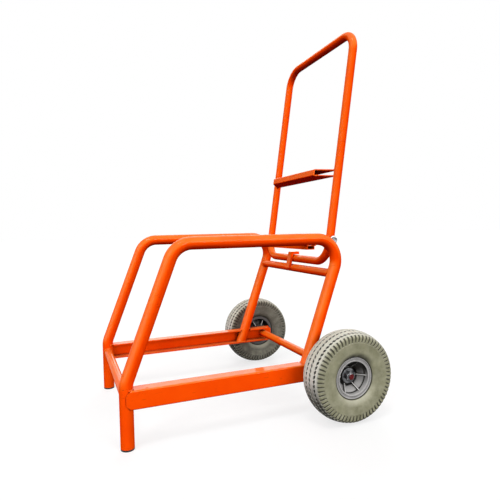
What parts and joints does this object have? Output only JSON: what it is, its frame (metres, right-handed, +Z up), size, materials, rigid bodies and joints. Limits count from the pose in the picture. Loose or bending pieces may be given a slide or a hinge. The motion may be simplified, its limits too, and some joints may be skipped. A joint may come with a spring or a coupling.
{
  "type": "masonry saw cart",
  "caption": "Two-wheeled masonry saw cart of bent orange pipe: side hoops on bottom channels, flat-free wheels, folding loop handle.",
  "frame": {"origin": "on the floor, under the middle of the cart's bounding box", "axes": "+Z up; +X to the rear, towards the handle and wheels; +Y to the right of an operator who stands behind the handle and faces forward"},
  "size_m": [0.7744, 0.769, 1.1999],
  "materials": {
    "orange_paint": "glossy orange powder coat",
    "bright_zinc": "bright zinc plate",
    "plain_steel": "plain drawn steel",
    "bearing_steel": "ground steel",
    "black_plastic": "moulded black plastic",
    "rim_grey": "satin grey moulded rim",
    "grey_tyre": "solid foam tyre, grey, dusty"
  },
  "bodies": {
    "frame": {"left_hoop": "orange_paint", "right_hoop": "orange_paint", "left_channel": "orange_paint", "right_channel": "orange_paint", "front_cross_tube": "orange_paint", "rear_cross_tube": "orange_paint", "axle_tube": "orange_paint", "handle_rest_bar": "orange_paint", "handle_stop_hook": "orange_paint", "left_pivot_lug": "orange_paint", "right_pivot_lug": "orange_paint", "pivot_bolts": "bright_zinc", "pivot_head_washers": "bright_zinc", "pivot_end_washers": "bright_zinc", "pivot_nuts": "bright_zinc", "axle_nuts": "bright_zinc", "axle_washers": "bright_zinc", "axle_spacers": "bright_zinc", "pivot_thrust_washers": "black_plastic", "left_foot_plug": "black_plastic", "right_foot_plug": "black_plastic", "axle_rod": "plain_steel", "bearing_inner_races": "bearing_steel", "bearing_balls": "bearing_steel"},
    "handle": {"handle_loop": "orange_paint", "handle_bracket": "orange_paint", "handle_pivot_sleeves": "plain_steel"},
    "left_wheel": {"left_tyre": "grey_tyre", "left_rim": "rim_grey", "left_hub_tube": "plain_steel", "left_bearing_outer_races": "bearing_steel"},
    "right_wheel": {"right_tyre": "grey_tyre", "right_rim": "rim_grey", "right_hub_tube": "plain_steel", "right_bearing_outer_races": "bearing_steel"}
  },
  "joints": [
    {"name": "handle_fold", "type": "hinge", "parent": "frame", "child": "handle", "pos_m": [0.27196, 0, 0.52545], "axis": [0, -1, 0], "range_deg": [0, 98.76]},
    {"name": "left_wheel_spin", "type": "hinge", "parent": "frame", "child": "left_wheel", "pos_m": [0.24782, 0, 0.1335], "axis": [0, 1, 0], "continuous": true},
    {"name": "right_wheel_spin", "type": "hinge", "parent": "frame", "child": "right_wheel", "pos_m": [0.24782, 0, 0.1335], "axis": [0, 1, 0], "continuous": true}
  ]
}
